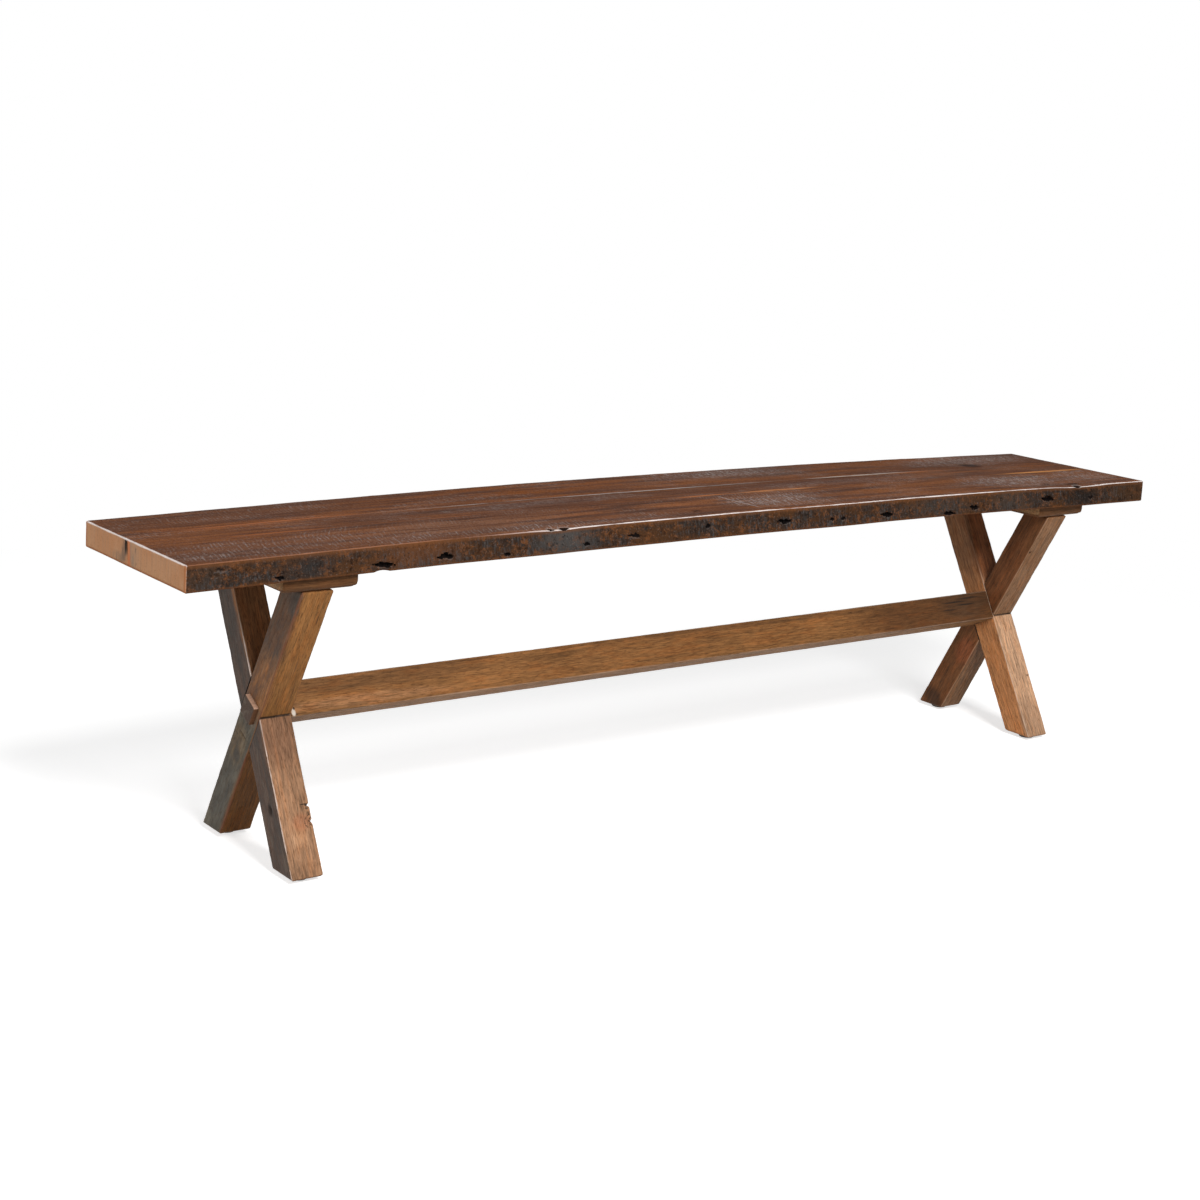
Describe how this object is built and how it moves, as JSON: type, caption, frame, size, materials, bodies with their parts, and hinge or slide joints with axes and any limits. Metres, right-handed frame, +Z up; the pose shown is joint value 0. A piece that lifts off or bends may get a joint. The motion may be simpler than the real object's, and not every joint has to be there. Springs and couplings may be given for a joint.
{
  "type": "rustic bench",
  "caption": "Backless rustic wooden bench: bowed seat of glued boards on half-lapped crossed-leg trestles joined by a square stretcher.",
  "frame": {"origin": "on the floor, under the middle of the seat's length and between the two crossings", "axes": "+Z up, +X along the seat, -Y towards the front edge of the seat"},
  "size_m": [1.829, 0.3224, 0.4559],
  "materials": {
    "seat_stain": "dark red-brown stain on sawn boards, with whitish saw marks and worn pale edges",
    "oak_oil": "mid-brown oiled oak with open grain and worn edges",
    "grey_oak": "oak gone grey-brown on its outer faces",
    "plug_grain": "dark end grain",
    "zinc_steel": "zinc-plated steel",
    "glide_nylon": "dark brown nylon"
  },
  "bodies": {
    "root": {"back_board": "seat_stain", "middle_board": "seat_stain", "front_board": "seat_stain", "left_cleat": "oak_oil", "right_cleat": "oak_oil", "left_inner_leg": "oak_oil", "left_outer_leg": "grey_oak", "right_inner_leg": "oak_oil", "right_outer_leg": "oak_oil", "stretcher": "oak_oil", "left_plug": "plug_grain", "right_plug": "plug_grain", "left_bolt": "zinc_steel", "right_bolt": "zinc_steel", "left_washer": "zinc_steel", "right_washer": "zinc_steel", "left_inner_leg_screw": "zinc_steel", "left_outer_leg_screw": "zinc_steel", "right_inner_leg_screw": "zinc_steel", "right_outer_leg_screw": "zinc_steel", "left_board_screw_1": "zinc_steel", "left_board_screw_2": "zinc_steel", "left_board_screw_3": "zinc_steel", "left_board_screw_4": "zinc_steel", "left_board_screw_5": "zinc_steel", "left_board_screw_6": "zinc_steel", "right_board_screw_1": "zinc_steel", "right_board_screw_2": "zinc_steel", "right_board_screw_3": "zinc_steel", "right_board_screw_4": "zinc_steel", "right_board_screw_5": "zinc_steel", "right_board_screw_6": "zinc_steel", "left_front_glide": "glide_nylon", "left_back_glide": "glide_nylon", "right_front_glide": "glide_nylon", "right_back_glide": "glide_nylon", "left_front_glide_nail": "zinc_steel", "left_back_glide_nail": "zinc_steel", "right_front_glide_nail": "zinc_steel", "right_back_glide_nail": "zinc_steel"}
  },
  "joints": []
}
